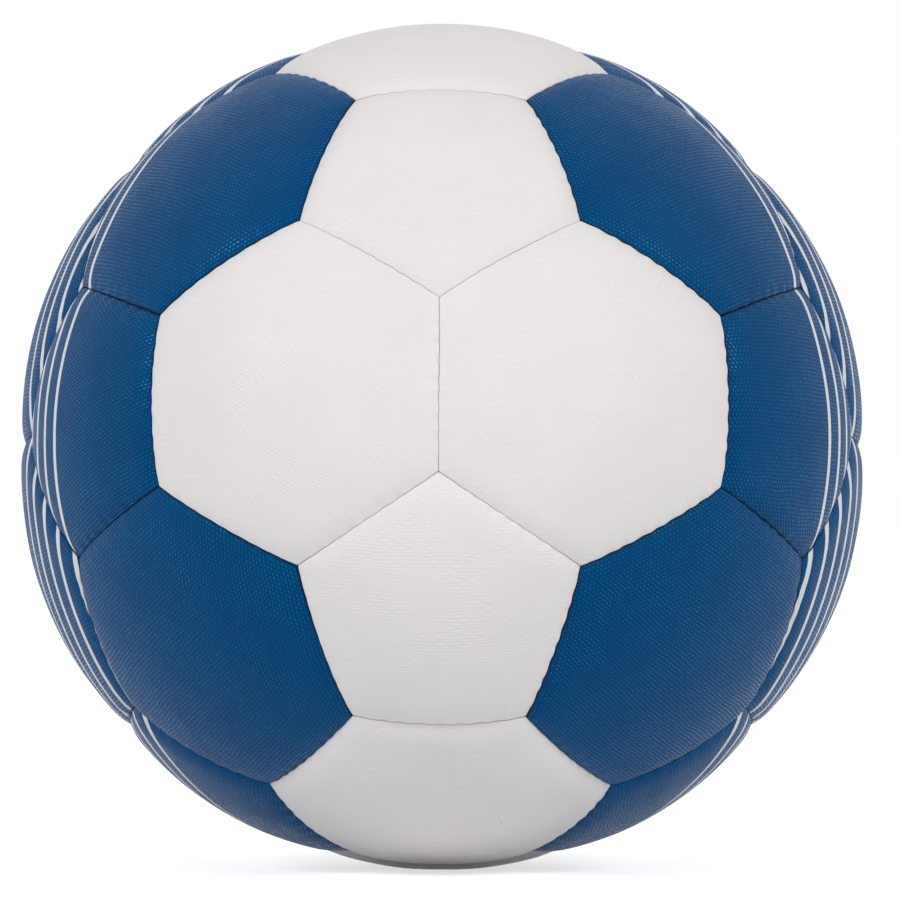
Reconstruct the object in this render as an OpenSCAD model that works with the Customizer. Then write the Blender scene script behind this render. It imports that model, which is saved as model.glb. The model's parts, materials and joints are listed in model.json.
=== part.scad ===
// A hand-stitched handball of 32 padded panels: 20 hexagons and 12 pentagons around an inflated bladder.
// Millimetres. The ball's centre is the origin, +Z is up and -Y faces the viewer.
// Each panel is a crowned pillow that rolls down at its seams and turns a hem inwards, where it is sewn.

/* [Ball] */
// Diameter over the panels' crowns
ball_d = 175; // [160:1:190]
// How much lower the crowned surface runs at the middle of a seam than at a panel's centre
crown_drop = 1.2; // [0.8:0.1:1.6]

/* [Seams] */
// Depth of the groove where two panels meet, under the crowned surface
groove_depth = 2.2; // [1.8:0.1:2.6]
// Radius of the shoulder that rolls from the crown down into the groove
shoulder_r = 11; // [9:0.5:13]
// Air between the faces of two hems that are sewn together
seam_gap = 0.1; // [0.05:0.05:0.2]
// Depth of the hem that is turned in below the groove
hem_depth = 4; // [3:0.25:5]
// Diameter of the waxed sewing thread
thread_d = 0.9; // [0.6:0.1:1.1]
// Bare length that each thread keeps from the corner where three seams meet
thread_end = 1.2; // [0.9:0.1:2]

/* [Panel cover] */
// Thickness of the coated cover with its foam
cover_t = 2.2; // [1.8:0.1:2.6]
// Thickness of the cover where it is turned in as a hem
cover_hem_t = 1.4; // [1:0.1:1.6]
// How far the cover's inner face lies below the groove at the middle of a seam
cover_edge_t = 2.1; // [1.8:0.1:2.6]

/* [Textile backing] */
// Thickness of the laminated textile backing
backing_t = 1.1; // [0.8:0.1:1.4]
// Thickness of the backing inside the hem
backing_hem_t = 0.8; // [0.5:0.1:1]
// Glue line between the cover and its backing
ply_gap = 0.05; // [0.03:0.01:0.1]

/* [Bladder] */
// Wall of the latex bladder
bladder_t = 0.8; // [0.6:0.1:1]
// Slip clearance around the bladder
bladder_gap = 0.15; // [0.1:0.05:0.3]
// Distance from a seam at which the bladder starts to bulge up into a panel
bulge_margin = 4; // [3.5:0.25:6]

/* [Valve] */
// Diameter of the hole in the cover that shows the valve
valve_hole_d = 6.6; // [5.6:0.2:8]
// Depth of the valve's face below the crown
valve_recess = 0.4; // [0.2:0.1:0.8]
// Diameter of the valve seat's body below the cover
seat_d = 9; // [8.4:0.2:11]
// Length of the valve seat from its face to its inner end
seat_len = 12.5; // [11.5:0.5:15]
// Diameter of the seat's foot, bonded under the patch
foot_d = 14; // [12:0.5:18]
// Thickness of the seat's foot
foot_t = 1.2; // [0.8:0.1:1.6]
// Diameter of the round patch that reinforces the bladder
patch_d = 26; // [22:1:30]
// Thickness of the patch
patch_t = 0.9; // [0.6:0.1:1.2]
// Diameter of the plug's shank
plug_d = 4; // [3.6:0.1:4.4]
// Diameter of the plug's head
plug_head_d = 5; // [4.8:0.1:5.2]
// Thickness of the plug's head
plug_head_t = 1.2; // [0.8:0.1:1.6]
// Length of the plug
plug_len = 11; // [10.5:0.25:11.5]
// Diameter of the bore that grips an inflating needle
needle_d = 1.9; // [1.6:0.1:2.2]
// Depth of the needle bore
needle_depth = 9; // [7:0.5:9.5]
// Clearance between the valve's pieces and round the holes that they pass
valve_gap = 0.1; // [0.05:0.05:0.15]

/* [Colours and lie] */
// Half width of the white band of panels that runs round the ball, as a share of its radius
white_band = 0.45; // [0.4:0.01:0.5]
// Lean of the panel pattern away from the viewer, in degrees
lean = -8.6; // [-15:0.1:15]
// Roll of the panel pattern, in degrees
roll = 0.1; // [-5:0.1:5]
// Turn of the panel pattern about the upright axis, in degrees
turn = -0.4; // [-5:0.1:5]
// Depth of the flat that the ball's weight presses into its cover where it lies on the floor
floor_flat = 0.5; // [0.3:0.1:0.7]

/* [Hidden] */
$fn = 180;
GOLD = (1 + sqrt(5))/2;
PENTAGONS = [for (s = [1, -1], t = [1, -1], v = [[0, s*GOLD, t], [t, 0, s*GOLD], [s*GOLD, t, 0]]) v/norm(v)];
CUBE_HEXAGONS = [for (x = [1, -1], y = [1, -1], z = [1, -1]) [x, y, z]/norm([x, y, z])];
BELT_HEXAGONS = [
    for (s = [1, -1], t = [1, -1], v = [[0, s/GOLD, t*GOLD], [s/GOLD, t*GOLD, 0], [t*GOLD, 0, s/GOLD]])
        v/norm(v)
];
HEXAGONS = concat(CUBE_HEXAGONS, BELT_HEXAGONS);
// Panels whose centres are closer than this share a seam
NEIGHBOUR_ANGLE = 43;
// Distances from the centre of the flat-faced solid with edges of length 1
CORNER_DIST = sqrt(58 + 18*sqrt(5))/4;
HEXAGON_DIST = (3*sqrt(3) + sqrt(15))/4;
PENTAGON_DIST = sqrt((125 + 41*sqrt(5))/10)/2;

ball_r = ball_d/2;
rim_r = ball_r - crown_drop;
root_r = rim_r - groove_depth;
hem_r = root_r - hem_depth;
thread_r = hem_r - ply_gap - thread_d/2;
bladder_r = thread_r - thread_d/2 - bladder_gap;
backing_inset = seam_gap/2 + cover_hem_t + ply_gap;
seam_arc = 2*asin(0.5/CORNER_DIST);
// How far the shoulder arc stands over the crown where they meet, so that the two surfaces cross cleanly
blend_lap = 0.03;
// Room left around a shape when it is cut by another
spare = 5;
// Degrees by which the round blank reaches past a panel's corners
blank_margin = 5;
// Half of the turn of a seam's trimming shape
trim_turn = 40;
// Where a seam's trimming shape begins, as a share of the crown's radius, clear of its own axis
trim_start = 1/3;
// How deep the foot of a bulge reaches into the bladder's plain sphere
bulge_foot = 1;
// Turn of the bladder's plain sphere, which keeps its poles and its meridian off the middle of any bulge
off_pole = [11, 23, 31];

// Height of the floor: the lowest of all the panels' crowns, less the flat
crown_bottoms = concat([for (h = HEXAGONS) crown_bottom(6, h)], [for (p = PENTAGONS) crown_bottom(5, p)]);
floor_z = min(crown_bottoms) + floor_flat;
// Direction of the panel that carries the valve, on the ball's back
valve_hexagon = HEXAGONS[9];
valve_face_r = ball_r - valve_recess;
cover_inner_r = ball_r - cover_t;

function panel_name(shape, k) = str(shape, "_panel_", k < 9 ? "0" : "", k + 1);
// Angles at the ball's centre from a panel's axis to the middle of its side, and to its corner
function face_dist(n) = n == 6 ? HEXAGON_DIST : PENTAGON_DIST;
function side_angle(n) = atan(0.5/tan(180/n)/face_dist(n));
function corner_angle(n) = atan(0.5/sin(180/n)/face_dist(n));
// Centre of the sphere on a panel's axis that is `top` high there and `rim` high at the angle `a`
function lift(top, rim, a) = (top*top - rim*rim)/(2*(top - rim*cos(a)));
// Crown, inner face and bulge of a panel, each a sphere centred on the panel's axis
function crown_lift(n) = lift(ball_r, rim_r, side_angle(n));
function inner_lift(n) = lift(cover_inner_r, root_r - cover_edge_t, side_angle(n));
function inner_r(n) = cover_inner_r - inner_lift(n);
function bulge_top() = cover_inner_r - ply_gap - backing_t - bladder_gap;
function bulge_angle(n) = side_angle(n) - bulge_margin/bladder_r*180/PI;
function bulge_lift(n) = lift(bulge_top(), bladder_r, bulge_angle(n));
function bulge_r(n) = bulge_top() - bulge_lift(n);
function neighbour(list, d, i = 0) = list[i]*d > cos(NEIGHBOUR_ANGLE) ? list[i] : neighbour(list, d, i + 1);
function unit(v) = v/norm(v);
// How high a direction of the pattern points once the ball lies as it does
function upward(v) = -sin(roll)*v.x + cos(roll)*(sin(lean)*v.y + cos(lean)*v.z);
function crown_bottom(n, d) = crown_lift(n)*upward(d) - (ball_r - crown_lift(n));

// Stands a shape made on +Z on the direction d, with its +X towards the direction t
module aim(d, t) {
    x = unit(t - (t*d)*d);
    y = cross(d, x);
    multmatrix([[x.x, y.x, d.x, 0], [x.y, y.y, d.y, 0], [x.z, y.z, d.z, 0], [0, 0, 0, 1]])
        children();
}

module lie() {
    rotate([lean, roll, turn])
        children();
}

module on_panel(n, d) {
    lie()
        aim(d, neighbour(n == 6 ? PENTAGONS : HEXAGONS, d))
            children();
}

// Turns a shape so that +Z points inwards, square to the seam number i
module at_seam(n, i) {
    rotate([0, 0, i*360/n])
        rotate([0, side_angle(n) - 90, 0])
            children();
}

// The dished round blank that a panel is cut from
module blank(n) {
    reach = 2*ball_r;
    half = corner_angle(n) + blank_margin;
    rotate_extrude()
        difference() {
            intersection() {
                translate([0, crown_lift(n)])
                    circle(r = ball_r - crown_lift(n));
                polygon([[0, 0], [reach*sin(half), reach*cos(half)], [0, reach]]);
            }
            circle(r = hem_r);
        }
}

// Section of the space on a panel's side of one seam.
// X runs out from the crown's centre, and Y from the seam inwards.
module seam_side_section(n) {
    crown_r = ball_r - crown_lift(n);
    face_y = seam_gap/2 - crown_lift(n)*sin(side_angle(n));
    face_x = sqrt(crown_r*crown_r - face_y*face_y) - groove_depth;
    shoulder_dist = crown_r - shoulder_r + blend_lap;
    to_face = norm([face_x, face_y]);
    swing = acos((pow(to_face, 2) + pow(shoulder_dist, 2) - pow(shoulder_r, 2))/(2*to_face*shoulder_dist));
    up = atan2(face_y, face_x) + swing;
    shoulder = shoulder_dist*[cos(up), sin(up)];
    reach = 3*shoulder_r;
    difference() {
        translate([crown_r*trim_start, face_y])
            square([crown_r*(1 - trim_start) + spare, crown_r]);
        // What the rolled shoulder takes off; its far side runs past the seam's own face
        difference() {
            polygon([
                shoulder,
                shoulder + reach*[cos(up), sin(up)],
                shoulder + reach*[1, -1],
                shoulder + reach*[0, -1]
            ]);
            translate(shoulder)
                circle(r = shoulder_r);
        }
    }
}

// The blank, trimmed and rolled down along the seams 0 to i
module trimmed(n, i) {
    if (i < 0)
        blank(n);
    else
        intersection() {
            trimmed(n, i - 1);
            rotate([0, 0, i*360/n])
                translate([0, 0, crown_lift(n)])
                    rotate([0, side_angle(n) - 90, 0])
                        rotate_extrude(angle = 2*trim_turn, start = -trim_turn)
                            seam_side_section(n);
        }
}

// What lies inside all of a panel's seam planes, moved in by `inset`,
// and under its inner sphere, moved in by `depth`
module inside(n, inset, depth) {
    intersection() {
        translate([0, 0, inner_lift(n)])
            sphere(r = inner_r(n) - depth);
        intersection_for (i = [0:n - 1])
            at_seam(n, i)
                translate([-ball_r, -ball_r, inset])
                    cube([2*ball_r, 2*ball_r, 2*ball_r]);
    }
}

module cover(n) {
    difference() {
        trimmed(n, n - 1);
        inside(n, seam_gap/2 + cover_hem_t, 0);
    }
}

module backing(n) {
    difference() {
        inside(n, backing_inset, ply_gap);
        inside(n, backing_inset + backing_hem_t, ply_gap + backing_t);
        sphere(r = hem_r);
    }
}

// What lies under the floor, taken off the panel that the ball rests on
module under_floor() {
    translate([-ball_r, -ball_r, floor_z - ball_r])
        cube([2*ball_r, 2*ball_r, ball_r]);
}

module panel(n, d) {
    color(abs(d.x) < white_band ? "white" : "royalblue")
        difference() {
            on_panel(n, d)
                difference() {
                    cover(n);
                    if (d == valve_hexagon)
                        cylinder(d = valve_hole_d, h = ball_r + spare);
                }
            if (crown_bottom(n, d) < floor_z)
                under_floor();
        }
}

module backings(n, list) {
    color("wheat")
        for (d = list)
            on_panel(n, d)
                difference() {
                    backing(n);
                    if (d == valve_hexagon)
                        cylinder(d = seat_d + 2*valve_gap, h = ball_r + spare);
                }
}

// One thread runs under each pair of hems
module seam_threads() {
    half = seam_arc/2 - thread_end/thread_r*180/PI;
    color("black")
        lie() {
            for (h = HEXAGONS, p = PENTAGONS)
                if (h*p > cos(NEIGHBOUR_ANGLE))
                    thread_arc(h, p, side_angle(6), half);
            for (i = [0:len(HEXAGONS) - 2], j = [i + 1:len(HEXAGONS) - 1])
                if (HEXAGONS[i]*HEXAGONS[j] > cos(NEIGHBOUR_ANGLE))
                    thread_arc(HEXAGONS[i], HEXAGONS[j], side_angle(6), half);
        }
}

// A thread on the seam that lies at the angle a from the panel centre u towards the panel centre v
module thread_arc(u, v, a, half) {
    across = unit(v - (v*u)*u);
    mid = cos(a)*u + sin(a)*across;
    normal = cos(a)*across - sin(a)*u;
    aim(normal, mid)
        rotate_extrude(angle = 2*half, start = -half)
            translate([thread_r, 0])
                circle(d = thread_d);
}

// A round cap that swells from the bladder into a panel, made `skin` smaller for the inner wall
module bulge(n, skin) {
    rotate_extrude()
        difference() {
            translate([0, bulge_lift(n)])
                intersection() {
                    circle(r = bulge_r(n) - skin);
                    square([ball_r, ball_r]);
                }
            circle(r = bladder_r - skin - bulge_foot);
        }
}

module bladder_form(skin) {
    union() {
        rotate(off_pole)
            sphere(r = bladder_r - skin);
        for (d = HEXAGONS)
            aim(d, neighbour(PENTAGONS, d))
                bulge(6, skin);
        for (d = PENTAGONS)
            aim(d, neighbour(HEXAGONS, d))
                bulge(5, skin);
    }
}

module bladder() {
    color("tan")
        lie()
            difference() {
                bladder_form(0);
                bladder_form(bladder_t);
                aim(valve_hexagon, neighbour(PENTAGONS, valve_hexagon))
                    cylinder(d = seat_d + 2*valve_gap, h = ball_r);
            }
}

module on_valve() {
    on_panel(6, valve_hexagon)
        children();
}

module bladder_patch() {
    outer_r = bulge_r(6) - bladder_t - ply_gap;
    color("dimgray")
        on_valve()
            rotate_extrude()
                difference() {
                    intersection() {
                        translate([0, bulge_lift(6)])
                            circle(r = outer_r);
                        translate([seat_d/2 + valve_gap, bulge_lift(6)])
                            square([(patch_d - seat_d)/2 - valve_gap, outer_r]);
                    }
                    translate([0, bulge_lift(6)])
                        circle(r = outer_r - patch_t);
                }
}

// Rubber housing of the valve: a neck in the cover's hole, a body through the wall, a foot under the patch
module valve_seat() {
    body_top = cover_inner_r - valve_gap;
    patch_inner_r = bulge_r(6) - bladder_t - ply_gap - patch_t;
    patch_under = bulge_lift(6) + sqrt(pow(patch_inner_r, 2) - pow(foot_d/2, 2));
    foot_top = patch_under - valve_gap;
    color("dimgray")
        on_valve()
            difference() {
                union() {
                    translate([0, 0, valve_face_r - seat_len])
                        cylinder(d = seat_d, h = body_top - valve_face_r + seat_len);
                    translate([0, 0, valve_face_r - seat_len])
                        cylinder(d = valve_hole_d - 2*valve_gap, h = seat_len);
                    translate([0, 0, foot_top - foot_t])
                        cylinder(d = foot_d, h = foot_t);
                }
                translate([0, 0, valve_face_r - seat_len - spare])
                    cylinder(d = plug_d + 2*valve_gap, h = seat_len + 2*spare);
                translate([0, 0, valve_face_r - plug_head_t - valve_gap])
                    cylinder(d = plug_head_d + 2*valve_gap, h = spare);
            }
}

// Soft plug with the blind bore that grips the inflating needle
module valve_plug() {
    color("black")
        on_valve()
            difference() {
                union() {
                    translate([0, 0, valve_face_r - plug_len])
                        cylinder(d = plug_d, h = plug_len);
                    translate([0, 0, valve_face_r - plug_head_t])
                        cylinder(d = plug_head_d, h = plug_head_t);
                }
                translate([0, 0, valve_face_r - needle_depth])
                    cylinder(d = needle_d, h = needle_depth + spare);
            }
}

for (k = [0:len(HEXAGONS) - 1])
    panel(6, HEXAGONS[k]);
for (k = [0:len(PENTAGONS) - 1])
    panel(5, PENTAGONS[k]);
backings(6, HEXAGONS);  // hexagon_backings
backings(5, PENTAGONS);  // pentagon_backings
seam_threads();
bladder();
bladder_patch();
valve_seat();
valve_plug();
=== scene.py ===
# %% [markdown]
# # Dressing a hand-stitched handball
# The ball is already built as exact solids: 32 padded panels, their backing, the thread, the bladder and the
# valve. This notebook gives it its looks. It loads the solids as a fixed frame, builds each soft piece again as
# a finer mesh in the same place, and paints every piece with materials made of nodes.

# %% Load the solids
import json
import math
import bmesh
import bpy
import numpy as np
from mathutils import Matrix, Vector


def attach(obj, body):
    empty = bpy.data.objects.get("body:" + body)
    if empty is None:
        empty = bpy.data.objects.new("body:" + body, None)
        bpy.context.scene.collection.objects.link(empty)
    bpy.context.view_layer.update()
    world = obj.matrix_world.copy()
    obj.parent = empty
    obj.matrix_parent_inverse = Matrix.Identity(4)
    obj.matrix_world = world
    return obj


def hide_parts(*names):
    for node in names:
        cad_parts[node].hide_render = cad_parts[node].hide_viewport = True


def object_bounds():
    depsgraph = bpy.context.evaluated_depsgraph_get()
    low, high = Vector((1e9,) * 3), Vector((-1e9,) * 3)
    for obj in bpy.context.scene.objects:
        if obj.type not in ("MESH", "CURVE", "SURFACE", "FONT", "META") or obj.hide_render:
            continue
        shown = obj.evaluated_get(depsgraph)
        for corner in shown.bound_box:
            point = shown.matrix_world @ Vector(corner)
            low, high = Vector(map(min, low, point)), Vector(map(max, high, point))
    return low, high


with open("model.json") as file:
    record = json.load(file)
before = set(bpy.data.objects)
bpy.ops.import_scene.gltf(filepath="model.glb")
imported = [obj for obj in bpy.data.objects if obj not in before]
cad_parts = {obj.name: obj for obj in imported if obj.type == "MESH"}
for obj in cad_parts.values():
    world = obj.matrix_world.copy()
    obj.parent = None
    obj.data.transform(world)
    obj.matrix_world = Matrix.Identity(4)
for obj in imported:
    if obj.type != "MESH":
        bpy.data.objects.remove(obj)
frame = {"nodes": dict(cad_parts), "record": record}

cad_low, cad_high = [list(corner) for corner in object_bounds()]
FLOOR_MM = 1000*cad_low[2]
SLOTS = {entry["node"]: entry["material_slot"] for entry in frame["record"]["subparts"]}


def stand_in(piece, solid):
    """Lets a piece take a solid's place: it hangs on the root body, and the solid is hidden."""
    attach(piece, "root")
    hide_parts(solid)


print("solids loaded:", len(frame["nodes"]), "and the floor lies at", round(FLOOR_MM, 2), "mm")

# %% [markdown]
# ## The camera
# A ball looks round from anywhere, but its pattern gives the camera away: the corners where three panels meet
# lie in known directions, so their places in a picture fix both the lens and the distance. The camera stands
# level with the ball's middle, about one and a half metres away, with a long lens.

# %% Set the camera
CAMERA_DIST = 1.467
FOCAL_PIXELS, IMAGE_PIXELS = 7113, 900

lens = bpy.data.cameras.new("Camera")
lens.sensor_width = 36
lens.lens = FOCAL_PIXELS/IMAGE_PIXELS*lens.sensor_width
lens.shift_x, lens.shift_y = 0.0091, -0.0024
lens.clip_start, lens.clip_end = 0.05, 30
camera = bpy.data.objects.new("Camera", lens)
camera.location = (0, -CAMERA_DIST, 0)
camera.rotation_euler = (math.pi/2, 0, 0)
bpy.context.scene.collection.objects.link(camera)
bpy.context.scene.camera = camera
print("lens", round(lens.lens, 1), "mm")

# %% [markdown]
# ## The pattern of panels
# Twelve pentagons and twenty hexagons close into a ball. The pentagons' centres are the corners of an
# icosahedron and the hexagons' centres are the corners of a dodecahedron, so a few lines with the golden ratio
# give all 32. The whole pattern then leans back a little, as the ball happens to lie.

# %% Panel centres
GOLD = (1 + 5**0.5)/2
LEAN, ROLL, TURN = (math.radians(a) for a in (-8.6, 0.1, -0.4))


def unit(v):
    return v/np.linalg.norm(v, axis=-1, keepdims=True)


def turning(axis, angle):
    """The matrix of a turn about the x, y or z axis, given as 0, 1 or 2."""
    c, s = math.cos(angle), math.sin(angle)
    i, j = [(1, 2), (2, 0), (0, 1)][axis]
    m = np.eye(3)
    m[i, i], m[i, j], m[j, i], m[j, j] = c, -s, s, c
    return m


signs = [(s, t) for s in (1, -1) for t in (1, -1)]
pentagons = [v for s, t in signs for v in ((0, s*GOLD, t), (t, 0, s*GOLD), (s*GOLD, t, 0))]
hexagons = [(x, y, z) for x in (1, -1) for y in (1, -1) for z in (1, -1)]
hexagons += [v for s, t in signs for v in ((0, s/GOLD, t*GOLD), (s/GOLD, t*GOLD, 0), (t*GOLD, 0, s/GOLD))]
LIE = turning(2, TURN) @ turning(1, ROLL) @ turning(0, LEAN)
CENTRES = {6: unit(np.array(hexagons, float)) @ LIE.T, 5: unit(np.array(pentagons, float)) @ LIE.T}
ALL_CENTRES = np.vstack([CENTRES[6], CENTRES[5]])
print("panel centres:", len(ALL_CENTRES))

# %% [markdown]
# ## The seams of one panel
# Each seam lies in a plane through the ball's centre. A panel is the part of the ball on the inner side of all
# its seam planes, so the planes' normals say everything: how far a point is from each seam, and where the
# corners are. Two panels that share a seam must agree on which way runs along it and which way crosses it, so
# that a wave in the seam line moves both edges together. The sign `owner` settles that. The panels near the
# ball's upright middle plane are white, and the others are blue.

# %% Seam planes and corners
SIDE_ANGLE = {6: math.radians(20.905), 5: math.radians(16.472)}
NEIGHBOUR_COS, SAME_PANEL_COS = math.cos(math.radians(43)), 0.999
WHITE_BAND = 0.45


class Panel:
    """A panel's centre and corners and, for each seam, its plane and the directions along and across it."""

    def __init__(self, sides, centre):
        self.sides, self.centre = sides, centre
        near = [q for q in ALL_CENTRES if NEIGHBOUR_COS < q @ centre < SAME_PANEL_COS]
        self.x = unit(near[0] - (near[0] @ centre)*centre)
        self.y = np.cross(centre, self.x)
        near.sort(key=lambda q: math.atan2(q @ self.y, q @ self.x) % (2*math.pi - 1e-6))
        self.across = np.array([unit(q - (q @ centre)*centre) for q in near])
        angle = SIDE_ANGLE[sides]
        self.inward = math.sin(angle)*centre - math.cos(angle)*self.across
        self.middle = math.cos(angle)*centre + math.sin(angle)*self.across
        self.along = np.cross(self.inward, self.middle)
        self.corners = unit(np.cross(self.inward, np.roll(self.inward, -1, axis=0)))
        self.corners *= np.sign(self.corners @ centre)[:, None]
        self.owner = np.array([1 if tuple(centre) < tuple(q) else -1 for q in near])
        self.white = abs((LIE.T @ centre)[0]) < WHITE_BAND


PANELS = {n: [Panel(n, c) for c in CENTRES[n]] for n in (6, 5)}
print("seams:", (6*len(PANELS[6]) + 5*len(PANELS[5]))//2)

# %% [markdown]
# ## Sizes of the swell
# Foam and cloth are sewn together inside out, then the ball is turned and pumped up. The middle of each panel
# swells to the full radius, and its rim is held down by the thread. These are the sizes of that form in
# millimetres: the crown, the shoulder that rolls down to the seam, the tight lip at its mouth, the long slow
# unevenness of the skin, and how far each stitch pulls the skin in and moves the seam line sideways.

# %% Sizes of the swell
BALL_R, SEAM_R = 87.5, 86.3
CROWN_LIFT = {6: 15.155, 5: 21.991}
SHOULDER_WIDTH, SHOULDER_DROP, SHOULDER_BEND = 5.0, 0.8, 2.2
SHOULDER_LIMIT = 1.35
LIP_R = 0.22
CORNER_BLEND = 1.1
HALF_GAP = 0.02
SLOW_SWELL, FINE_SWELL = 0.15, 0.05
STITCHES = 9
SEAM_LENGTH = math.radians(23.28)*SEAM_R
PULL, PULL_WIDTH = 0.13, 1.1
GATHER, GATHER_WIDTH = 0.06, 3.5
STITCH_SWAY, SLOW_SWAY, SWAY_WIDTH = 0.05, 0.09, 2.4
print("stitch pitch", round(SEAM_LENGTH/STITCHES, 2), "mm")

# %% [markdown]
# ## How a padded panel swells
# A cloth simulation could blow the panels up, but the thread holds each one on all sides, so the height of the
# surface depends on one thing above all, the distance to the nearest seam. It is computed from that distance,
# and every neighbour then meets it exactly. Where three seams meet, the distances are blended, which rounds the
# corner as thick foam does.

# %% Height of the surface


def on_sphere(panel, u, lift, radius):
    """Distance from the ball's centre, along u, to a sphere whose centre lies `lift` up the panel's axis."""
    cos = u @ panel.centre
    return lift*cos + np.sqrt(radius**2 - lift**2*(1 - cos**2))


def waves(u, seed, low, high, count=7):
    """A smooth field over the whole ball, between about -1 and 1, so neighbouring panels agree on it."""
    rng = np.random.default_rng(seed)
    total = np.zeros(len(u))
    for _ in range(count):
        direction = unit(rng.normal(size=3))*rng.uniform(low, high)
        total += np.sin(u @ direction + rng.uniform(0, 2*math.pi))
    return total/count**0.5/1.4


def drawn_in(panel, points):
    """Moves points that touch a seam plane inwards by half of the gap between two panels."""
    short = (HALF_GAP - points @ panel.inward.T).clip(0, HALF_GAP)
    return points + short @ panel.inward


def stitched(panel, i, u, away):
    """How far the stitches of the seam i pull the skin in and sideways, `away` millimetres from that seam."""
    t = SEAM_R*np.arctan2(u @ panel.along[i], u @ panel.middle[i])*panel.owner[i]
    stitch = 2*math.pi*t*STITCHES/SEAM_LENGTH + 0.5*np.sin(0.7*t)
    window = np.clip(1 - (2*np.abs(t)/SEAM_LENGTH)**6, 0, 1)
    pull = 0.5 + 0.5*np.cos(stitch)
    pull *= PULL*np.exp(-(away/PULL_WIDTH)**2) + GATHER*np.exp(-(away/GATHER_WIDTH)**2)
    sway = STITCH_SWAY*np.sin(stitch + 0.8) + SLOW_SWAY*waves(u, 21, 12, 25)
    return window*pull, window*sway*np.exp(-(away/SWAY_WIDTH)**2)*panel.owner[i]


def skin(panel, u):
    """The panel's outer surface in the directions u, in millimetres, and its distance from the seams."""
    s = SEAM_R*np.arcsin(np.clip(u @ panel.inward.T, 0, 1))
    nearest = s.min(axis=1)
    soft = -CORNER_BLEND*np.log(np.exp(-s/CORNER_BLEND).sum(axis=1))
    shoulder = SHOULDER_DROP*np.clip(1 - soft/SHOULDER_WIDTH, 0, SHOULDER_LIMIT)**SHOULDER_BEND
    lip = LIP_R - np.sqrt(np.clip(LIP_R**2 - np.clip(LIP_R - nearest, 0, None)**2, 0, None))
    lift = CROWN_LIFT[panel.sides]
    radius = on_sphere(panel, u, lift, BALL_R - lift) - shoulder - lip
    radius += SLOW_SWELL*waves(u, 5, 3, 9) + FINE_SWELL*waves(u, 8, 20, 45)
    sideways = np.zeros_like(u)
    for i in range(panel.sides):
        pull, sway = stitched(panel, i, u, s[:, i])
        radius -= pull
        sideways += sway[:, None]*panel.inward[i]
    points = drawn_in(panel, radius[:, None]*u) + sideways
    points[:, 2] = np.maximum(points[:, 2], FLOOR_MM)
    return points, nearest


first = PANELS[6][0]
crown, seam = [np.linalg.norm(skin(first, u[None])[0]) for u in (first.centre, first.middle[0])]
print("radius at a hexagon's crown", round(crown, 1), "mm and at the bottom of a seam", round(seam, 1), "mm")

# %% [markdown]
# ## Rings of points
# A panel's mesh is woven from rings that follow its outline. The rings are close together and finely divided at
# the seam, where the thread gathers the skin every few millimetres, and halve their points towards the calm
# middle. A plain grid would need the fine spacing everywhere.

# %% Weave rings into a mesh
PER_SIDE = 72


def ring(panel, inset, per_side, hole):
    """Directions `inset` millimetres inside the seams; with a hole, the rings turn into circles round it."""
    steps = np.arange(per_side)/per_side
    edge = []
    for i in range(panel.sides):
        a, b = panel.corners[i - 1], panel.corners[i]
        angle = math.acos(a @ b)
        edge.append(np.outer(np.sin((1 - steps)*angle), a) + np.outer(np.sin(steps*angle), b))
    edge = unit(np.vstack(edge))
    angle = np.arccos(np.clip(edge @ panel.centre, -1, 1))
    side = unit(edge - (edge @ panel.centre)[:, None]*panel.centre)
    at = hole + (1 - inset/(SEAM_R*SIDE_ANGLE[panel.sides]))*(angle - hole)
    return np.cos(at)[:, None]*panel.centre + np.sin(at)[:, None]*side


def strip(a, b):
    """Faces between two rings of point numbers. One may have twice the other's points, or be one point."""
    m, n = len(a), len(b)
    if m == 1:
        return [(a[0], b[(j + 1) % n], b[j]) for j in range(n)]
    if n == 1:
        return [(a[j], a[(j + 1) % m], b[0]) for j in range(m)]
    if m == n:
        return [(a[j], a[(j + 1) % m], b[(j + 1) % m], b[j]) for j in range(m)]
    faces = []
    for j in range(min(m, n)):
        k = (j + 1) % min(m, n)
        if n > m:
            odd, right = b[2*j + 1], b[(2*j + 2) % n]
            faces += [(a[j], a[k], odd), (a[k], right, odd), (a[j], odd, b[2*j])]
        else:
            odd, right = a[2*j + 1], a[(2*j + 2) % m]
            faces += [(a[2*j], odd, b[j]), (odd, b[k], b[j]), (odd, right, b[k])]
    return faces


def woven_mesh(name, shells):
    """A mesh object from shells, each a list of rings of points in millimetres."""
    faces, start = [], 0
    for rings in shells:
        numbers = []
        for points in rings:
            numbers.append(range(start, start + len(points)))
            start += len(points)
        faces += [f for a, b in zip(numbers, numbers[1:]) for f in strip(a, b)]
    mesh = bpy.data.meshes.new(name)
    points = np.vstack([points for rings in shells for points in rings])
    mesh.from_pydata((points/1000).tolist(), [], faces)
    mesh.polygons.foreach_set("use_smooth", [True]*len(mesh.polygons))
    piece = bpy.data.objects.new(name, mesh)
    bpy.context.scene.collection.objects.link(piece)
    return piece


print("points on a hexagon's rim:", 6*PER_SIDE)

# %% [markdown]
# ## Laying the cloth flat
# The panels are cut from flat cloth with a die, so the grain runs straight over each one and turns at every
# seam. Each mesh carries that flat layout as a UV map, measured from the panel's middle. On the white panels
# the ribs run level, and on the blue ones the rows follow one of the sides, picked by a seeded draw.

# %% Flat layout of a panel
UV_MM = 100


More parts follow.
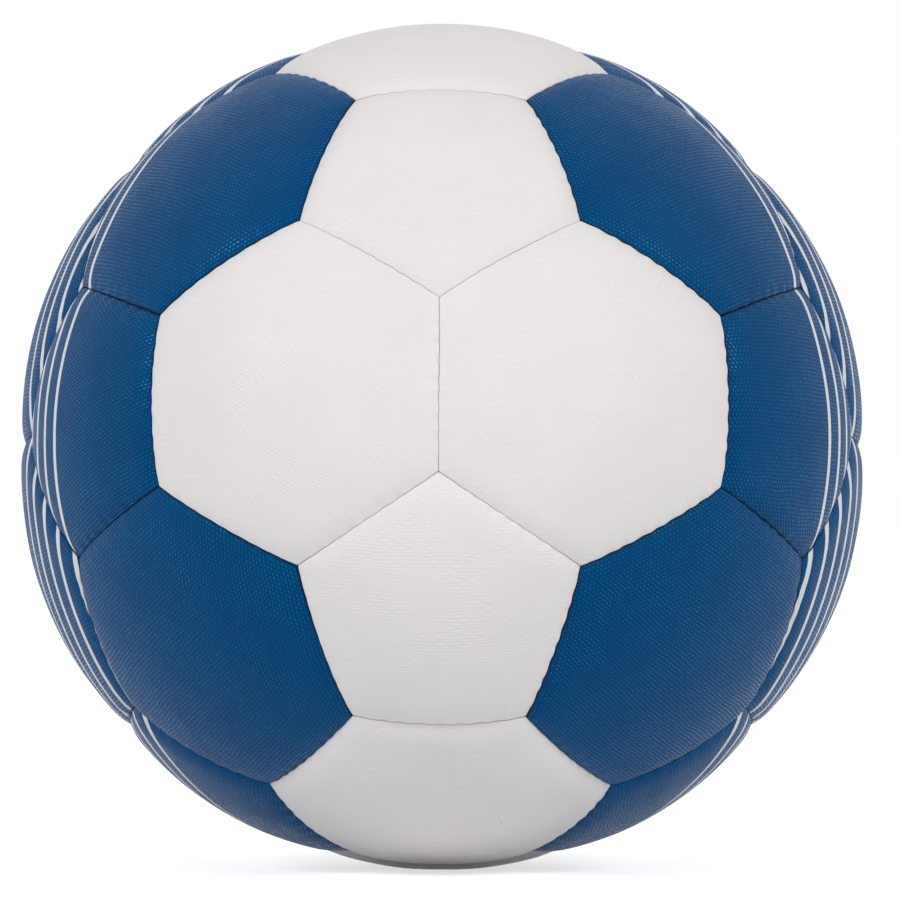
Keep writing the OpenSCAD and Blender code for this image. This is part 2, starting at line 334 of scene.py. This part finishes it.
def flat_layout(panel, u):
    """Places directions u on the flat cloth, in millimetres."""
    if panel.white:
        side = int(np.argmax(np.abs(panel.across @ (0, 0, 1))))
    else:
        side = int(np.random.default_rng(int(1e4*abs(panel.centre.sum()))).integers(panel.sides))
    rows = panel.across[side]
    angle = np.arccos(np.clip(u @ panel.centre, -1, 1))*SEAM_R
    flat = np.stack([u @ rows, u @ np.cross(panel.centre, rows)], axis=1)
    return flat/np.maximum(np.linalg.norm(flat, axis=1), 1e-9)[:, None]*angle[:, None]


def lay_cloth(piece, flat):
    """Stores the flat layout on the piece as its UV map."""
    mesh = piece.data
    corners = np.zeros(len(mesh.loops), int)
    mesh.loops.foreach_get("vertex_index", corners)
    mesh.uv_layers.new(name="Cloth").data.foreach_set("uv", (0.5 + flat[corners]/UV_MM).ravel())


print("one UV unit is", UV_MM, "mm of cloth")

# %% [markdown]
# ## The covers
# The panel's section runs from the middle of its inner face out to the hem, down and round the hem's foot, up
# the sewn face, over the lip and back to the middle of the crown, so each panel is one closed body with its
# full thickness. The panel with the valve has its rings start from a round hole in place of a point.

# %% Rings of one cover
KINDS = {"hexagon": 6, "pentagon": 5}
HEM_R, HEM_T, ROOT_R = 80.1, 1.4, 82.6
INNER = {6: (31.74, 53.56), 5: (41.41, 43.89)}
VALVE_PANEL = PANELS[6][9]
NECK_HOLE = 3.3/BALL_R
MIDDLE_ROOM = 2.5
LIP_STEPS = [LIP_R*(1 - math.cos(math.radians(b))) for b in (0, 25, 45, 62, 76, 90)]
OVER_HEM = LIP_STEPS + [0.7, 1.05, 1.45, 1.95]
FINE, MIDDLE = OVER_HEM + [2.6, 3.4, 4.3, 5.3], [6.5, 7.9, 9.5, 11.3]
COARSE, LAST = [13.4, 15.8, 18.6, 21.4], [24.4, 27.6]
INSETS = [(s, PER_SIDE//d) for group, d in ((FINE, 1), (MIDDLE, 2), (COARSE, 4), (LAST, 8)) for s in group]


def inner_face(panel, u, depth=0.0):
    """Points on the cover's inner face, or `depth` millimetres below it."""
    lift, radius = INNER[panel.sides]
    return on_sphere(panel, u, lift, radius - depth)[:, None]*u


def rings_across(panel, insets, hole):
    """Rings from the seam in to the panel's middle, which is one point, or the edge of the hole."""
    apothem = SEAM_R*SIDE_ANGLE[panel.sides]
    insets = [(s, m) for s, m in insets if s < apothem - MIDDLE_ROOM]
    middle = ring(panel, apothem, insets[-1][1], hole) if hole else panel.centre[None]
    return [ring(panel, s, m, hole) for s, m in insets] + [middle]


def cover_rings(panel, hole):
    """The closed section of one cover, and each point's distance from its seam, or -1 below the skin."""
    across = rings_across(panel, INSETS, hole)
    hem, rim = ring(panel, HEM_T, PER_SIDE, hole), ring(panel, 0, PER_SIDE, hole)
    rings = [inner_face(panel, u) for u in reversed(across[len(OVER_HEM):])]
    rings += [drawn_in(panel, p) for p in (inner_face(panel, hem), hem*HEM_R, rim*HEM_R, rim*ROOT_R)]
    distance = [np.full(len(points), -1.0) for points in rings]
    for u in across:
        points, nearest = skin(panel, u)
        rings.append(points)
        distance.append(nearest)
    if hole:
        rings.append(rings[0])
        distance.append(distance[0])
    return rings, distance


print("rings from seam to middle:", len(INSETS))

# %% [markdown]
# ## All 32 covers
# One loop makes them all, first the hexagons and then the pentagons. Each mesh keeps its points' distance from
# the seam as an attribute, so that the material can darken the groove with dirt and painted shade.

# %% Build the 32 covers
covers = []
for kind, sides in KINDS.items():
    for k, panel in enumerate(PANELS[sides]):
        rings, distance = cover_rings(panel, NECK_HOLE if panel is VALVE_PANEL else 0.0)
        piece = woven_mesh(f"{kind}_cover_{k + 1:02d}", [rings])
        lay_cloth(piece, flat_layout(panel, unit(np.vstack(rings))))
        values = np.concatenate(distance).astype(np.float32)
        piece.data.attributes.new("seam_distance", "FLOAT", "POINT").data.foreach_set("value", values)
        stand_in(piece, f"{kind}_panel_{k + 1:02d}")
        covers.append((piece, panel))
print("covers:", len(covers), "points in all:", sum(len(p.data.vertices) for p, panel in covers))

# %% [markdown]
# ## The backing
# Under the foam of every panel lies a stiff cloth, laminated so that the ball keeps its size. It follows the
# cover's inner face and turns down beside the hem. The same rings serve, only coarser, because nothing here is
# gathered.

# %% Build the backings
GLUE, BACKING_T, BACKING_HEM_T = 0.05, 1.1, 0.8
HEM_CLEAR = 0.05
BACKING_INSET = HEM_CLEAR + HEM_T + GLUE
BACKING_STEPS = ((3.6, 24), (5.5, 24), (8, 12), (12, 12), (16, 6), (21, 6))
SEAT_HOLE_R = 4.6


def backing_rings(panel):
    hole = SEAT_HOLE_R/BALL_R if panel is VALVE_PANEL else 0.0
    face = rings_across(panel, BACKING_STEPS, hole)
    edge, fold = [ring(panel, s, 24, hole) for s in (BACKING_INSET, BACKING_INSET + BACKING_HEM_T)]
    rings = [inner_face(panel, u, GLUE + BACKING_T) for u in reversed(face)]
    rings += [inner_face(panel, fold, GLUE + BACKING_T), fold*HEM_R, edge*HEM_R]
    rings += [inner_face(panel, u, GLUE) for u in [edge] + face]
    return rings + [rings[0]] if hole else rings


backings = []
for kind, sides in KINDS.items():
    shells = [backing_rings(panel) for panel in PANELS[sides]]
    piece = woven_mesh(f"{kind}_backing_cloth", shells)
    flats = [flat_layout(panel, unit(np.vstack(rings))) for panel, rings in zip(PANELS[sides], shells)]
    lay_cloth(piece, np.vstack(flats))
    stand_in(piece, f"{kind}_backings")
    backings.append(piece)
print("backings:", [piece.name for piece in backings])

# %% [markdown]
# ## The thread
# A ball is sewn with one waxed thread that has a needle at each end, so two strands pass through every hole and
# lie twisted round each other between the holes. Each strand is a thin tube along a spiral, and each seam has
# two.

# %% Build the threads
THREAD_R, STRAND_R, TWIST_R = 79.6, 0.21, 0.22
CORNER_CLEAR = 1.2
THREAD_HALF = SEAM_LENGTH/SEAM_R/2 - CORNER_CLEAR/THREAD_R
THREAD_STEPS, STRAND_SIDES = 54, 5


def strand(panel, i, phase):
    """Rings of one tube along the spiral under the seam i."""
    angle = np.linspace(-THREAD_HALF, THREAD_HALF, THREAD_STEPS)
    turn = phase + STITCHES*math.pi*angle/THREAD_HALF
    out = np.outer(np.cos(angle), panel.middle[i]) + np.outer(np.sin(angle), panel.along[i])
    beside = panel.inward[i]
    path = out*(THREAD_R + TWIST_R*np.cos(turn))[:, None] + np.outer(TWIST_R*np.sin(turn), beside)
    around = 2*math.pi*np.arange(STRAND_SIDES)/STRAND_SIDES
    rings = [path[:1]]
    for centre, direction in zip(path, out):
        tube = np.outer(np.cos(around), direction) + np.outer(np.sin(around), beside)
        rings.append(centre + STRAND_R*tube)
    return rings + [path[-1:]]


strands = [strand(panel, i, phase) for panel in PANELS[6] + PANELS[5] for i in range(panel.sides)
           if panel.owner[i] > 0 for phase in (0.0, math.pi)]
thread = woven_mesh("stitching_thread", strands)
stand_in(thread, "seam_threads")
print("strands:", len(strands))

# %% [markdown]
# ## The bladder
# The bladder is a latex bag blown up until it bulges into every panel. Seen from its centre it has one wall in
# each direction, so its height can be computed on rings round the valve's axis: the plain sphere or the bulge,
# whichever reaches further.

# %% Build the bladder
BLADDER_R, BLADDER_T = 79.0, 0.8
BULGE = {6: (45.95, 38.05), 5: (56.55, 27.45)}
BLADDER_TOP = sum(BULGE[6])
BLADDER_RINGS, BLADDER_SIDES = 120, 192


def around_valve(angle, count):
    """Directions on a circle round the valve's axis."""
    turn = 2*math.pi*np.arange(count)/count
    side = np.outer(np.cos(turn), VALVE_PANEL.x) + np.outer(np.sin(turn), VALVE_PANEL.y)
    return math.cos(angle)*VALVE_PANEL.centre + math.sin(angle)*side


def bladder_wall(u, depth):
    """Points on the bladder's outer face, or `depth` millimetres below it."""
    radius = np.full(len(u), BLADDER_R - depth)
    for sides, (lift, bulge) in BULGE.items():
        cos = np.max(u @ CENTRES[sides].T, axis=1)
        under = (bulge - depth)**2 - lift**2*(1 - cos**2)
        radius = np.maximum(radius, np.where(under > 0, lift*cos + np.sqrt(np.abs(under)), 0))
    return radius[:, None]*u


angles = np.linspace(SEAT_HOLE_R/BLADDER_TOP, math.pi, BLADDER_RINGS)[:-1]
circles = [around_valve(a, BLADDER_SIDES) for a in angles] + [-VALVE_PANEL.centre[None]]
outer, inner = [[bladder_wall(u, depth) for u in circles] for depth in (0, BLADDER_T)]
bladder = woven_mesh("latex_bladder", [inner[::-1] + outer])
stand_in(bladder, "bladder")
print("bladder points:", len(bladder.data.vertices))

# %% [markdown]
# ## The patch round the valve
# Latex tears easily at a hole, so a round patch is stuck inside the bladder where the valve sits. It follows
# the bulge of that panel, and two rows of rings, its top and its underside, close into a thin washer.

# %% Build the patch
PATCH_T, PATCH_EDGE_R, PATCH_TOP = 0.9, 13, 82.8
PATCH_RINGS, PATCH_SIDES = 9, 64


def patch_face(u, depth):
    """Points on the patch's top, or `depth` millimetres below it."""
    lift, bulge = BULGE[6]
    return on_sphere(VALVE_PANEL, u, lift, bulge - BLADDER_T - GLUE - depth)[:, None]*u


angles = np.linspace(SEAT_HOLE_R/PATCH_TOP, PATCH_EDGE_R/PATCH_TOP, PATCH_RINGS)
circles = [around_valve(a, PATCH_SIDES) for a in angles]
top, under = [[patch_face(u, depth) for u in circles] for depth in (0, PATCH_T)]
patch = woven_mesh("valve_patch", [top + under[::-1] + top[:1]])
stand_in(patch, "bladder_patch")
print("patch points:", len(patch.data.vertices))

# %% [markdown]
# ## Clean bodies
# Rings that close on themselves meet in doubled points, and a row of rings may run inwards or outwards.
# Blender's mesh editor welds the doubled points and turns all faces outwards, so each piece is a clean closed
# body.

# %% Weld and turn outwards
made = [piece for piece, panel in covers] + backings + [thread, bladder, patch]
open_edges = 0
for piece in made:
    body = bmesh.new()
    body.from_mesh(piece.data)
    bmesh.ops.remove_doubles(body, verts=body.verts, dist=1e-7)
    bmesh.ops.recalc_face_normals(body, faces=body.faces)
    open_edges += sum(1 for e in body.edges if not e.is_manifold)
    body.to_mesh(piece.data)
    body.free()
print("pieces:", len(made), "open edges:", open_edges)

# %% [markdown]
# ## Helpers for node groups
# A finish that several materials share, such as the embossed grain, is a node group: built once, with named
# inputs, and placed in each material with its own values. A few short helpers keep the wiring readable.

# %% Helpers for nodes


def new_group(name, inputs, outputs):
    """A shader node group, with its input sockets and the sockets that take its results."""
    group = bpy.data.node_groups.new(name, "ShaderNodeTree")
    kinds = {"value": "NodeSocketFloat", "vector": "NodeSocketVector"}
    for label, kind, default in inputs:
        socket = group.interface.new_socket(label, in_out="INPUT", socket_type=kinds[kind])
        if default is not None:
            socket.default_value = default
    for label in outputs:
        group.interface.new_socket(label, in_out="OUTPUT", socket_type="NodeSocketFloat")
    return group, group.nodes.new("NodeGroupInput").outputs, group.nodes.new("NodeGroupOutput").inputs


def node(tree, kind, settings=None, **inputs):
    """A new node. An input is named by its label, or by its number as i0, i1 and so on."""
    made = tree.nodes.new(kind)
    for key, value in (settings or {}).items():
        setattr(made, key, value)
    for key, value in inputs.items():
        socket = made.inputs[int(key[1:]) if key[0] == "i" and key[1:].isdigit() else key.replace("_", " ")]
        if isinstance(value, bpy.types.NodeSocket):
            tree.links.new(value, socket)
        else:
            socket.default_value = value
    return made


def maths(tree, operation, a, b=0.0, c=0.0):
    return node(tree, "ShaderNodeMath", {"operation": operation}, i0=a, i1=b, i2=c).outputs[0]


def scaled(tree, vector, factor):
    return node(tree, "ShaderNodeVectorMath", {"operation": "SCALE"}, i0=vector, Scale=factor).outputs[0]


def ramp(tree, value, low, high, to_low=0.0, to_high=1.0):
    """A smooth step from one value to another."""
    return node(tree, "ShaderNodeMapRange", {"interpolation_type": "SMOOTHSTEP"}, Value=value, From_Min=low,
                From_Max=high, To_Min=to_low, To_Max=to_high).outputs["Result"]


def mix(tree, share, a, b):
    return node(tree, "ShaderNodeMix", {"data_type": "RGBA"}, i0=share, i6=a, i7=b).outputs[2]


def placed(tree, group, **inputs):
    return node(tree, "ShaderNodeGroup", {"node_tree": group}, **inputs).outputs


def new_material(name):
    """A material with its node tree, its shader's inputs and the place on the piece."""
    material = bpy.data.materials.new(name)
    material.use_nodes = True
    tree = material.node_tree
    place = tree.nodes.new("ShaderNodeTexCoord").outputs["Object"]
    return material, tree, tree.nodes["Principled BSDF"].inputs, place


print("helpers ready")

# %% [markdown]
# ## The embossed grain
# The skin is pressed on a roller that leaves the print of a coarse cloth: small raised pillows in rows under a
# millimetre apart, each row shifted by half a pillow. A picture of cloth could be laid on, but sine waves
# multiplied together give the same rows at any scale and stay sharp. Powers of the waves set how steep a pillow
# is across and along its row. Slow noise bends the rows and lets them fade, and each pillow has its own height,
# so that no two places look alike.

# %% Node group: embossed grain
BEND_MM = 1.6
ACROSS_POWER, ALONG_POWER = 1.3, 0.45
LEAST_TALL = 0.45
PORE_HEIGHT = 0.3
TOP_FROM, TOP_FULL = 0.6, 0.95

GRAIN, given, put = new_group(
    "Embossed grain",
    [("Flat place", "vector", None), ("Row pitch", "value", 0.75), ("Pillow length", "value", 0.95),
     ("Least height", "value", 0.4)],
    ["Height", "Pillow tops"])
flat_mm = scaled(GRAIN, given["Flat place"], float(UV_MM))
slow = node(GRAIN, "ShaderNodeTexNoise", Vector=flat_mm, Scale=0.09, Detail=3.0, Roughness=0.6).outputs["Color"]
bent = node(GRAIN, "ShaderNodeVectorMath", {"operation": "MULTIPLY_ADD"}, i0=slow, i1=(BEND_MM, BEND_MM, 0),
            i2=flat_mm)
axes = node(GRAIN, "ShaderNodeSeparateXYZ", Vector=bent.outputs[0]).outputs
row = maths(GRAIN, "DIVIDE", axes["X"], given["Row pitch"])
row_number = maths(GRAIN, "FLOOR", row)
shifted = maths(GRAIN, "DIVIDE", axes["Y"], given["Pillow length"])
cell = maths(GRAIN, "MULTIPLY_ADD", row_number, 0.5, shifted)
across_row = maths(GRAIN, "ABSOLUTE", maths(GRAIN, "SINE", maths(GRAIN, "MULTIPLY", row, math.pi)))
along_row = maths(GRAIN, "ABSOLUTE", maths(GRAIN, "SINE", maths(GRAIN, "MULTIPLY", cell, math.pi)))
pillow = maths(GRAIN, "MULTIPLY", maths(GRAIN, "POWER", across_row, ACROSS_POWER),
               maths(GRAIN, "POWER", along_row, ALONG_POWER))
corner = node(GRAIN, "ShaderNodeCombineXYZ", X=row_number, Y=maths(GRAIN, "FLOOR", cell)).outputs[0]
chance = node(GRAIN, "ShaderNodeTexWhiteNoise", {"noise_dimensions": "2D"}, Vector=corner).outputs["Value"]
fade = node(GRAIN, "ShaderNodeTexNoise", Vector=flat_mm, Scale=0.1, Detail=2.0).outputs["Fac"]
kept = ramp(GRAIN, fade, 0.38, 0.6, given["Least height"], 1.0)
tall = maths(GRAIN, "MULTIPLY", kept, maths(GRAIN, "MULTIPLY_ADD", chance, 1 - LEAST_TALL, LEAST_TALL))
pores = node(GRAIN, "ShaderNodeTexNoise", Vector=flat_mm, Scale=2.2, Detail=4.0, Roughness=0.6).outputs["Fac"]
height = maths(GRAIN, "MULTIPLY_ADD", pores, PORE_HEIGHT, maths(GRAIN, "MULTIPLY", pillow, tall))
GRAIN.links.new(height, put["Height"])
tops = maths(GRAIN, "MULTIPLY", ramp(GRAIN, pillow, TOP_FROM, TOP_FULL), tall)
GRAIN.links.new(tops, put["Pillow tops"])
print("group:", GRAIN.name, len(GRAIN.nodes), "nodes")

# %% [markdown]
# ## Dirt and painted shade in the seams
# The groove between two panels gathers dust, here more and there less, and its darker colour also paints the
# shade that falls into the groove. It could be painted by hand, but the distance from the seam is already
# stored on the mesh, and a smooth step turns it into a mask. Slow noise makes the dark strip wider in some
# places.

# %% Node group: seam dirt and painted shade
SEAM, given, put = new_group(
    "Seam dirt and shade", [("Distance", "value", 0.0), ("Width", "value", 0.3), ("Place", "vector", None)], ["Grime"])
patchy = node(SEAM, "ShaderNodeTexNoise", Vector=given["Place"], Scale=28.0, Detail=3.0).outputs["Fac"]
width = maths(SEAM, "MULTIPLY", given["Width"], ramp(SEAM, patchy, 0.35, 0.65, 0.5, 1.6))
SEAM.links.new(maths(SEAM, "SUBTRACT", 1.0, ramp(SEAM, given["Distance"], 0.0, width)), put["Grime"])
print("group:", SEAM.name, len(SEAM.nodes), "nodes")

# %% [markdown]
# ## A drifting tone and a few specks
# No skin or rubber has one even tone. Noise gives a slow mottle, and a few of the cells of a Voronoi pattern,
# picked by chance, each get one small round speck. The pieces inside the ball use the mottle too.

# %% Node group: tone drift
RARE = 0.93

DRIFT, given, put = new_group(
    "Tone drift", [("Place", "vector", None), ("Scale", "value", 60.0)], ["Tone", "Specks"])
tone = node(DRIFT, "ShaderNodeTexNoise", Vector=given["Place"], Scale=given["Scale"], Detail=4.0).outputs["Fac"]
DRIFT.links.new(tone, put["Tone"])
spots = node(DRIFT, "ShaderNodeTexVoronoi", Vector=given["Place"], Scale=110.0).outputs
rare = node(DRIFT, "ShaderNodeTexWhiteNoise", Vector=spots["Position"]).outputs["Value"]
near = ramp(DRIFT, spots["Distance"], 0.035, 0.015)
DRIFT.links.new(maths(DRIFT, "MULTIPLY", near, maths(DRIFT, "GREATER_THAN", rare, RARE)), put["Specks"])
print("group:", DRIFT.name, len(DRIFT.nodes), "nodes")

# %% [markdown]
# ## Pin lines on the sides
# The blue sides carry a few thin white lines, printed as plain parallel rings with even spaces. A ring is where
# a flat plane cuts the ball, so the distance along one slanting direction is all that it takes, and the lines
# run on across every seam. Taking the sideways distance without its sign makes both sides alike.

# %% Node group: pin lines
SIDEWAYS_MM, BACKWARDS_MM = 620.0, 785.0
SOFT_EDGE = 0.06

LINES, given, put = new_group(
    "Pin lines", [("Place", "vector", None), ("First", "value", 17.0), ("Spacing", "value", 5.5),
                  ("Width", "value", 1.3), ("Count", "value", 5.0)], ["Lines"])
mirrored = node(LINES, "ShaderNodeVectorMath", {"operation": "ABSOLUTE"}, i0=given["Place"]).outputs[0]
sideways = node(LINES, "ShaderNodeSeparateXYZ", Vector=mirrored).outputs["X"]
backwards = node(LINES, "ShaderNodeSeparateXYZ", Vector=given["Place"]).outputs["Y"]
slant = maths(LINES, "MULTIPLY_ADD", sideways, SIDEWAYS_MM, maths(LINES, "MULTIPLY", backwards, BACKWARDS_MM))
turns = maths(LINES, "DIVIDE", maths(LINES, "SUBTRACT", slant, given["First"]), given["Spacing"])
number = maths(LINES, "ROUND", turns)
aside = maths(LINES, "ABSOLUTE", maths(LINES, "SUBTRACT", turns, number))
off = maths(LINES, "MULTIPLY", aside, given["Spacing"])
half = maths(LINES, "MULTIPLY", given["Width"], 0.5)
line = ramp(LINES, off, maths(LINES, "ADD", half, SOFT_EDGE), maths(LINES, "SUBTRACT", half, SOFT_EDGE))
counted = maths(LINES, "MULTIPLY", maths(LINES, "GREATER_THAN", number, -0.5),
                maths(LINES, "LESS_THAN", number, maths(LINES, "SUBTRACT", given["Count"], 0.5)))
LINES.links.new(maths(LINES, "MULTIPLY", line, counted), put["Lines"])
print("group:", LINES.name, len(LINES.nodes), "nodes")

# %% [markdown]
# ## The two cover materials
# Both covers are the same coated foam cloth and differ in colour. The white one shows its grain faintly, as
# long ribs. The blue one sparkles on each pillow's top, because a dark colour lets the gloss show. The tops are
# also painted paler, partly as rubbed wear and partly as a painted highlight of that sparkle, and they are
# smoother than the hollows, so each material has two roughnesses. The blue's gloss is tinted and kept weak, so
# that the white surroundings wash it out less.

# %% Materials: white and blue cover
LINE_PAINT, SPECK = (0.72, 0.72, 0.74, 1), (0.1, 0.08, 0.07, 1)


def cover_material(name, colour, tops, groove_dirt_and_shade, drift_by, gloss, tint, roughness, relief, grain, groove_dirt_and_shade_width,
                   printed):
    """A coated cover. Its roughness is given for the hollows and the tops, and its relief in metres."""
    material, tree, shader, place = new_material(name)
    flat = node(tree, "ShaderNodeUVMap", {"uv_map": "Cloth"}).outputs["UV"]
    distance = node(tree, "ShaderNodeAttribute", {"attribute_name": "seam_distance"}).outputs["Fac"]
    weave = placed(tree, GRAIN, Flat_place=flat, **grain)
    drift = placed(tree, DRIFT, Place=place)
    seam = placed(tree, SEAM, Distance=distance, Width=groove_dirt_and_shade_width, Place=place)
    base = scaled(tree, colour, ramp(tree, drift["Tone"], 0.3, 0.7, 1 - drift_by, 1 + drift_by))
    # Painted highlight: the pillow tops take a paler colour, partly as rubbed wear and partly as the sparkle of
    # the gloss on them.
    base = mix(tree, weave["Pillow tops"], base, tops)
    if printed:
        base = mix(tree, placed(tree, LINES, Place=place)["Lines"], base, LINE_PAINT)
    base = mix(tree, maths(tree, "MULTIPLY", drift["Specks"], 0.5), base, SPECK)
    # Dirt and painted shade: near the seam the colour turns to the darker groove colour, for dust and for the
    # shadow that falls into the groove.
    base = mix(tree, seam["Grime"], base, groove_dirt_and_shade)
    tree.links.new(base, shader["Base Color"])
    tree.links.new(ramp(tree, weave["Pillow tops"], 0.0, 0.7, *roughness), shader["Roughness"])
    bump = node(tree, "ShaderNodeBump", Strength=1.0, Distance=relief, Height=weave["Height"])
    tree.links.new(bump.outputs["Normal"], shader["Normal"])
    shader["Specular IOR Level"].default_value = gloss
    shader["Specular Tint"].default_value = tint
    return material


# The groove colours are dirt and painted shade in the seams, grey-brown on the white and nearly black on the
# blue.
white_cover = cover_material(
    "White cover", colour=(0.79, 0.765, 0.76), tops=(0.83, 0.81, 0.805, 1), groove_dirt_and_shade=(0.58, 0.55, 0.54, 1),
    drift_by=0.015, gloss=0.3, tint=(1, 1, 1, 1), roughness=(0.6, 0.46), relief=4.5e-5,
    grain={"Row_pitch": 0.72, "Pillow_length": 3.1, "Least_height": 0.15}, groove_dirt_and_shade_width=0.1, printed=False)
# The tops colour is rubbed wear and painted highlight, much paler on the blue than on the white.
blue_cover = cover_material(
    "Blue cover", colour=(0.0002, 0.041, 0.145), tops=(0.001, 0.125, 0.30, 1), groove_dirt_and_shade=(0.003, 0.012, 0.04, 1),
    drift_by=0.04, gloss=0.24, tint=(0.12, 0.7, 1, 1), roughness=(0.6, 0.2), relief=4e-5,
    grain={"Row_pitch": 0.75, "Pillow_length": 0.95, "Least_height": 0.6}, groove_dirt_and_shade_width=0.42, printed=True)
for piece, panel in covers:
    piece.data.materials.append(white_cover if panel.white else blue_cover)
print("cover materials on", len(covers), "pieces")

# %% [markdown]
# ## What is inside
# The backing, the thread, the bladder and the valve can hardly be seen, but the part may be taken apart in
# other scenes. So each gets a material of its own kind: cloth for the backing, and a soft uneven rubber for the
# rest, smoother on the waxed thread.

# %% Materials for the inner pieces


def cloth_material(name, colour):
    material, tree, shader, place = new_material(name)
    flat = node(tree, "ShaderNodeUVMap", {"uv_map": "Cloth"}).outputs["UV"]
    weave = placed(tree, GRAIN, Flat_place=flat, Row_pitch=0.5, Pillow_length=0.6, Least_height=0.8)
    tone = ramp(tree, placed(tree, DRIFT, Place=place)["Tone"], 0.3, 0.7, 0.85, 1.1)
    shaded = maths(tree, "MULTIPLY_ADD", weave["Pillow tops"], 0.25, tone)
    tree.links.new(scaled(tree, colour, shaded), shader["Base Color"])
    bump = node(tree, "ShaderNodeBump", Strength=1.0, Distance=9e-5, Height=weave["Height"])
    tree.links.new(bump.outputs["Normal"], shader["Normal"])
    shader["Roughness"].default_value = 0.85
    return material


def rubber_material(name, colour, roughness, pitting):
    material, tree, shader, place = new_material(name)
    drift = placed(tree, DRIFT, Place=place, Scale=90.0)
    shade = ramp(tree, drift["Tone"], 0.3, 0.7, 0.8, 1.15)
    tree.links.new(scaled(tree, colour, shade), shader["Base Color"])
    uneven = ramp(tree, drift["Tone"], 0.3, 0.7, roughness - 0.08, roughness + 0.1)
    tree.links.new(uneven, shader["Roughness"])
    pits = node(tree, "ShaderNodeTexNoise", Vector=place, Scale=2600.0, Detail=4.0).outputs["Fac"]
    bump = node(tree, "ShaderNodeBump", Strength=0.6, Distance=pitting, Height=pits)
    tree.links.new(bump.outputs["Normal"], shader["Normal"])
    return material


finishes = {
    "textile_backing": cloth_material("Backing cloth", (0.60, 0.56, 0.48)),
    "waxed_thread": rubber_material("Waxed thread", (0.05, 0.048, 0.045), roughness=0.4, pitting=3e-5),
    "latex": rubber_material("Latex", (0.56, 0.40, 0.22), roughness=0.45, pitting=4e-5),
    "valve_rubber": rubber_material("Valve rubber", (0.030, 0.030, 0.032), roughness=0.55, pitting=5e-5),
    "plug_rubber": rubber_material("Plug rubber", (0.016, 0.016, 0.018), roughness=0.45, pitting=5e-5),
}
inner_pieces = {
    "hexagon_backings": backings[0], "pentagon_backings": backings[1], "seam_threads": thread,
    "bladder": bladder, "bladder_patch": patch,
    "valve_seat": frame["nodes"]["valve_seat"], "valve_plug": frame["nodes"]["valve_plug"],
}
for solid, piece in inner_pieces.items():
    piece.data.materials.clear()
    piece.data.materials.append(finishes[SLOTS[solid]])
print("inner pieces painted:", len(inner_pieces))

# %% [markdown]
# ## The floor
# The ball lies on plain white. A white floor under strong lamps would clip and throw light back at the ball, so
# this one takes soft light and keeps the ball's shadow, and only for what the camera or a reflection sees does
# it also glow.

# %% Floor
FLOOR_HALF = 6
FLOOR_PALE, FLOOR_GLOW = 0.92, 0.62


def seen_rays(tree):
    """1 for rays from the camera or a reflection, and 0 for the rays that light the ball."""
    rays = tree.nodes.new("ShaderNodeLightPath").outputs
    mirrored = maths(tree, "MAXIMUM", rays["Is Glossy Ray"], rays["Is Transmission Ray"])
    return maths(tree, "MAXIMUM", rays["Is Camera Ray"], mirrored)


around = [(x*FLOOR_HALF, y*FLOOR_HALF, FLOOR_MM/1000) for x, y in ((-1, -1), (1, -1), (1, 1), (-1, 1))]
floor_mesh = bpy.data.meshes.new("Floor")
floor_mesh.from_pydata(around, [], [(0, 1, 2, 3)])
floor = bpy.data.objects.new("Floor", floor_mesh)
bpy.context.scene.collection.objects.link(floor)
paint = bpy.data.materials.new("Floor paint")
paint.use_nodes = True
tree = paint.node_tree
tree.nodes.remove(tree.nodes["Principled BSDF"])
matt = node(tree, "ShaderNodeBsdfDiffuse", Color=(FLOOR_PALE, FLOOR_PALE, FLOOR_PALE, 1))
glow = node(tree, "ShaderNodeEmission", Strength=maths(tree, "MULTIPLY", seen_rays(tree), FLOOR_GLOW))
both = node(tree, "ShaderNodeAddShader", i0=matt.outputs[0], i1=glow.outputs[0])
tree.links.new(both.outputs[0], tree.nodes["Material Output"].inputs["Surface"])
floor_mesh.materials.append(paint)
print("floor at", round(FLOOR_MM, 2), "mm")

# %% [markdown]
# ## The world
# A backdrop could be built as a curved wall, but the world does it with one node: pure white to look at, and
# about half as strong as a light, so that the ball's own colours stay as they are written.

# %% World
WORLD_LIGHT = 0.48

world = bpy.data.worlds.new("World")
world.use_nodes = True
bpy.context.scene.world = world
backdrop = world.node_tree.nodes["Background"].inputs
backdrop["Color"].default_value = (1, 1, 1, 1)
level = ramp(world.node_tree, seen_rays(world.node_tree), 0, 1, WORLD_LIGHT, 1.0)
world.node_tree.links.new(level, backdrop["Strength"])
print("world light:", WORLD_LIGHT)

# %% [markdown]
# ## Lamps
# Two round soft lamps stand to the left and right of the camera and a metre above it. They light the front
# evenly, and the blue shoulders that turn halfway between a lamp and the viewer show them as bright bands.

# %% Lamps
LAMP_ASIDE, LAMP_FORWARD, LAMP_HEIGHT = 1.38, 1.16, 1.0
LAMP_SIZE, LAMP_WATTS = 0.6, 13.5


def softbox(name, aside):
    """A round lamp, turned to face the ball."""
    data = bpy.data.lights.new(name, "AREA")
    data.shape, data.size, data.energy = "DISK", LAMP_SIZE, LAMP_WATTS
    light = bpy.data.objects.new(name, data)
    light.location = (aside, -LAMP_FORWARD, LAMP_HEIGHT)
    tilt = math.atan2(math.hypot(aside, LAMP_FORWARD), LAMP_HEIGHT)
    light.rotation_euler = (tilt, 0, math.atan2(-LAMP_FORWARD, aside) + math.pi/2)
    bpy.context.scene.collection.objects.link(light)


softbox("Left softbox", -LAMP_ASIDE)
softbox("Right softbox", LAMP_ASIDE)
bpy.context.scene.view_settings.view_transform = "Standard"
print("lamps: 2")
